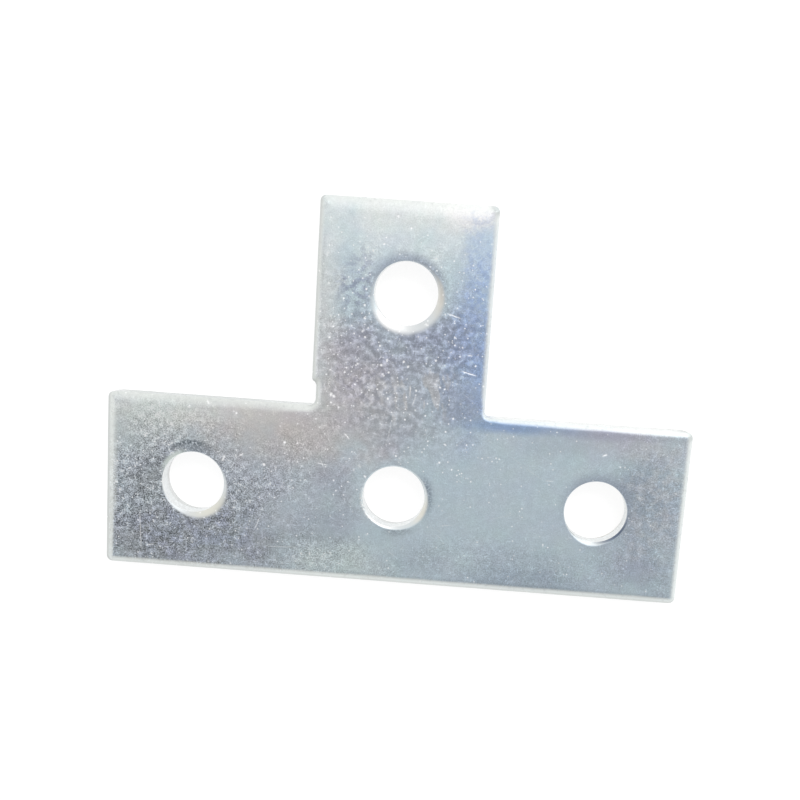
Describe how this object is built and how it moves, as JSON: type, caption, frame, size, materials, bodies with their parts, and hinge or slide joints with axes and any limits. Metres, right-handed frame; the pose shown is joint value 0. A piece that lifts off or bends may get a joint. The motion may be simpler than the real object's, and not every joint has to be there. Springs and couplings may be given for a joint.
{
  "type": "t plate bracket",
  "caption": "Flat T-shaped steel plate, stamped in one piece and zinc plated, with punched bolt holes for joining strut channel at a right angle.",
  "frame": {"origin": "middle of the plate's footprint, on its back face", "axes": "+X along the bar, +Y up the stem, +Z out of the front face; the plate lies on its back face"},
  "size_m": [0.138, 0.0904, 0.006],
  "materials": {
    "zinc_plate": "bright zinc plating, blue-white and worn"
  },
  "bodies": {
    "root": {"t_plate": "zinc_plate"}
  },
  "joints": []
}
